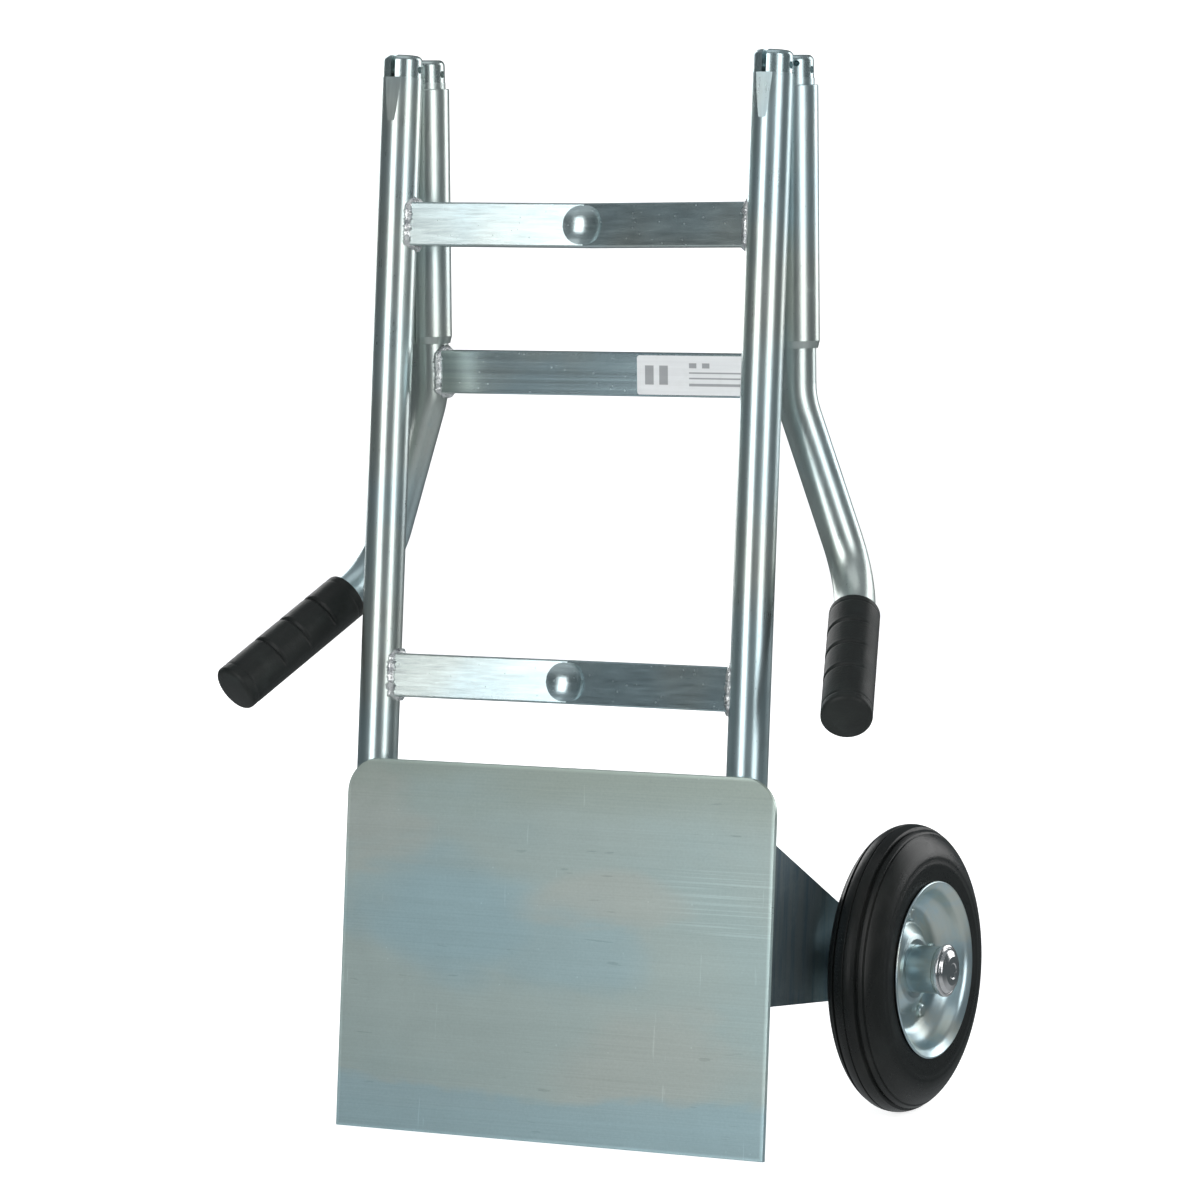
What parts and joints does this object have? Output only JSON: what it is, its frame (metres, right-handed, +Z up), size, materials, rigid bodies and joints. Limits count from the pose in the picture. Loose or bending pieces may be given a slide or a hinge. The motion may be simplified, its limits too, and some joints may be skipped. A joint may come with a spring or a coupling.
{
  "type": "hand truck",
  "caption": "Folding hand truck with a flip-over handle frame, sliding lock sleeves, a hinged toe plate and solid rubber tyres.",
  "frame": {"origin": "on the floor, at the middle of the footprint of the folded truck", "axes": "+X to the right seen from the toe plate side, +Y to the back (wheel side), +Z up"},
  "size_m": [0.5036, 0.3175, 0.735],
  "materials": {
    "zinc_tube": "satin",
    "zinc_bar": "satin",
    "zinc_sheet": "satin",
    "zinc_bracket": "satin",
    "zinc_fitting": "satin",
    "zinc_sleeve": "satin",
    "zinc_rim": "satin",
    "weld": "rough",
    "chrome_cap": "polished",
    "tyre_rubber": "matte",
    "grip_rubber": "matte",
    "bush_plastic": "matte",
    "label": "gloss"
  },
  "bodies": {
    "frame": {"left_frame_tube": "zinc_tube", "left_frame_plug": "zinc_fitting", "left_wheel_bracket": "zinc_bracket", "left_bracket_welds": "weld", "left_axle_spacer": "zinc_fitting", "left_axle_washers": "zinc_fitting", "left_axle_cap": "chrome_cap", "right_frame_tube": "zinc_tube", "right_frame_plug": "zinc_fitting", "right_wheel_bracket": "zinc_bracket", "right_bracket_welds": "weld", "right_axle_spacer": "zinc_fitting", "right_axle_washers": "zinc_fitting", "right_axle_cap": "chrome_cap", "upper_crossbar": "zinc_bar", "lower_crossbar": "zinc_bar", "frame_welds": "weld", "frame_fold_pins": "zinc_fitting", "toe_hinge_rod": "zinc_fitting", "toe_rod_clips": "zinc_fitting", "axle": "zinc_fitting"},
    "fold_links": {"left_fold_link": "zinc_fitting", "right_fold_link": "zinc_fitting"},
    "handle_frame": {"left_handle_tube": "zinc_tube", "left_handle_plug": "zinc_fitting", "left_grip": "grip_rubber", "right_handle_tube": "zinc_tube", "right_handle_plug": "zinc_fitting", "right_grip": "grip_rubber", "handle_fold_pins": "zinc_fitting", "handle_crossbar": "zinc_bar", "handle_welds": "weld", "rating_label": "label"},
    "left_sleeve": {"left_sleeve": "zinc_sleeve"},
    "right_sleeve": {"right_sleeve": "zinc_sleeve"},
    "toe_plate": {"toe_plate": "zinc_sheet", "toe_plate_ears": "zinc_bracket"},
    "left_wheel": {"left_tyre": "tyre_rubber", "left_outer_rim": "zinc_rim", "left_inner_rim": "zinc_rim", "left_rim_rivets": "zinc_fitting", "left_hub_tube": "zinc_fitting", "left_hub_bushes": "bush_plastic"},
    "right_wheel": {"right_tyre": "tyre_rubber", "right_outer_rim": "zinc_rim", "right_inner_rim": "zinc_rim", "right_rim_rivets": "zinc_fitting", "right_hub_tube": "zinc_fitting", "right_hub_bushes": "bush_plastic"}
  },
  "joints": [
    {"name": "link_swing", "type": "hinge", "parent": "frame", "child": "fold_links", "pos_m": [0, -0.06367, 0.72404], "axis": [1, 0, 0], "range_deg": [0, 90]},
    {"name": "handle_fold", "type": "hinge", "parent": "fold_links", "child": "handle_frame", "pos_m": [0, -0.03283, 0.72091], "axis": [1, 0, 0], "range_deg": [0, 84.5]},
    {"name": "left_sleeve_slide", "type": "slide", "parent": "handle_frame", "child": "left_sleeve", "axis": [0, 0.0053, 1], "range_m": [0, 0.126]},
    {"name": "right_sleeve_slide", "type": "slide", "parent": "handle_frame", "child": "right_sleeve", "axis": [0, 0.0053, 1], "range_m": [0, 0.126]},
    {"name": "toe_plate_fold", "type": "hinge", "parent": "frame", "child": "toe_plate", "pos_m": [0, -0.1332, 0.04007], "axis": [1, 0, 0], "range_deg": [0, 90]},
    {"name": "left_wheel_spin", "type": "hinge", "parent": "frame", "child": "left_wheel", "pos_m": [-0.1786, 0.05834, 0.1], "axis": [1, 0, 0], "continuous": true},
    {"name": "right_wheel_spin", "type": "hinge", "parent": "frame", "child": "right_wheel", "pos_m": [0.1786, 0.05834, 0.1], "axis": [1, 0, 0], "continuous": true}
  ],
  "couplings": [
    {"joint": "link_swing", "follows": "handle_fold", "ratio": 1.0651}
  ]
}
